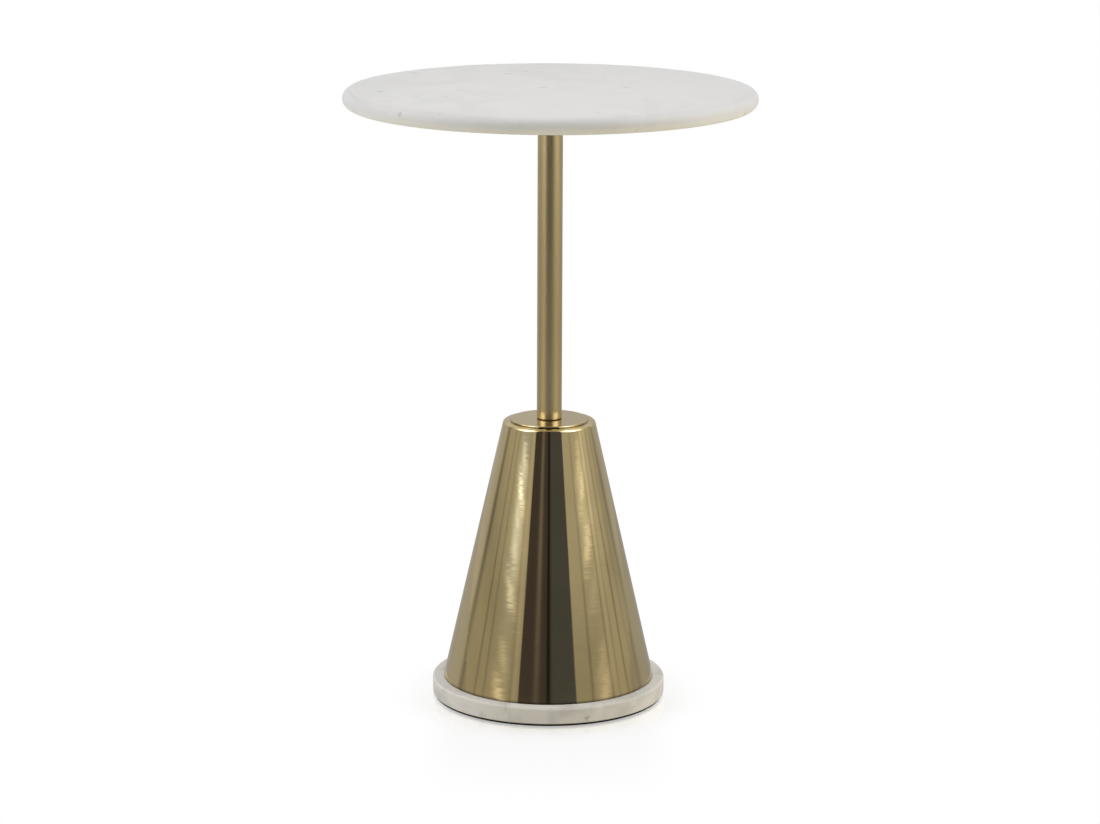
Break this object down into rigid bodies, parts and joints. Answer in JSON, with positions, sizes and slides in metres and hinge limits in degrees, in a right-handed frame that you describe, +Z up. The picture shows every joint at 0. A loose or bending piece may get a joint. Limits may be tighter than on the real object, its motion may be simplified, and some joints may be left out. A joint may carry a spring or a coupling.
{
  "type": "wine table",
  "caption": "Small round side table: bullnosed marble top on a slim brass-finished stem, which stands on a spun brass-finished cone and a marble foot disc.",
  "frame": {"origin": "centre of the table's footprint, on the floor", "axes": "+Z up along the table's axis; the table is round, so X and Y are free, and the picture looks along +Y"},
  "size_m": [0.3999, 0.4, 0.6045],
  "materials": {
    "white_marble": "satin",
    "polished_brass": "gloss",
    "satin_brass": "satin",
    "insert_brass": "satin",
    "zinc_steel": "satin",
    "raw_steel": "matte",
    "felt": "matte"
  },
  "bodies": {
    "root": {"foot_pad": "felt", "marble_base": "white_marble", "clamp_washer": "zinc_steel", "lock_washer": "zinc_steel", "base_nut": "zinc_steel", "tie_rod": "zinc_steel", "cone_shell": "polished_brass", "centring_plate": "raw_steel", "stiffener": "raw_steel", "cone_cap": "polished_brass", "stem_tube": "satin_brass", "stem_bush": "raw_steel", "flange_boss": "raw_steel", "top_flange": "satin_brass", "flange_screws": "zinc_steel", "flange_lock_washers": "zinc_steel", "top_inserts": "insert_brass", "marble_top": "white_marble"}
  },
  "joints": []
}
